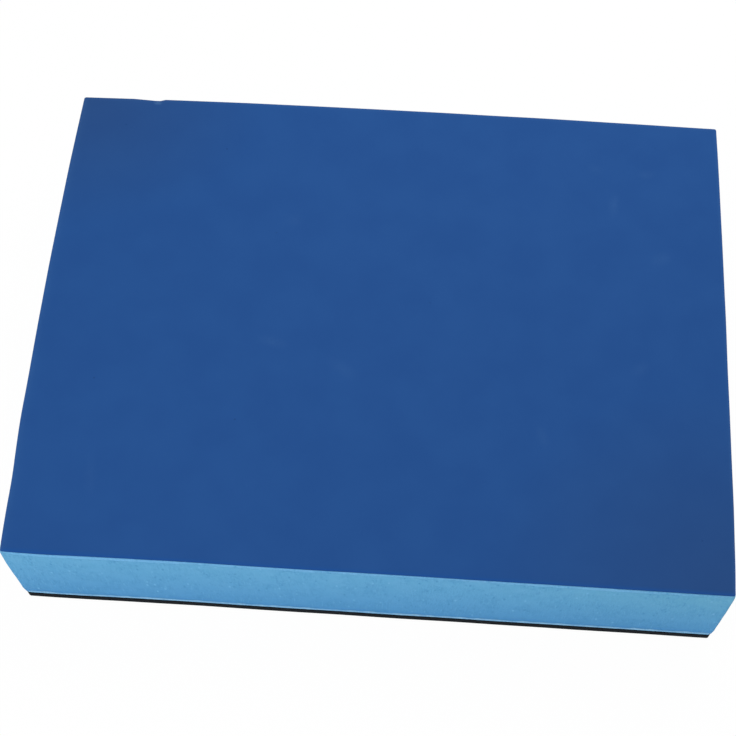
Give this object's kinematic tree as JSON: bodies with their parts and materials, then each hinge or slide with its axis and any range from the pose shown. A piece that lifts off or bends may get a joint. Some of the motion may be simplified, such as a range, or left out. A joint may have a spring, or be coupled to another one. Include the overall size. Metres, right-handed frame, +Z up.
{
  "type": "foam case insert",
  "caption": "Plain rectangular block of closed-cell foam with a smooth skin on top and a thin dark sheet below, cut to fill the inside of a small tool case.",
  "frame": {"origin": "centre of the footprint, on the surface that the insert stands on", "axes": "+X along the width to the right, +Y along the depth to the back, +Z up through the thickness"},
  "size_m": [0.38, 0.29, 0.072],
  "materials": {
    "black_foam": "matt closed-cell foam sheet, knife-cut edge",
    "glue_film": "set contact glue, satin",
    "light_foam": "matt sawn closed-cell foam, fine open pores",
    "dark_skin": "smooth satin skin"
  },
  "bodies": {
    "root": {"base_sheet": "black_foam", "bond_line": "glue_film", "foam_core": "light_foam", "top_skin": "dark_skin"}
  },
  "joints": []
}
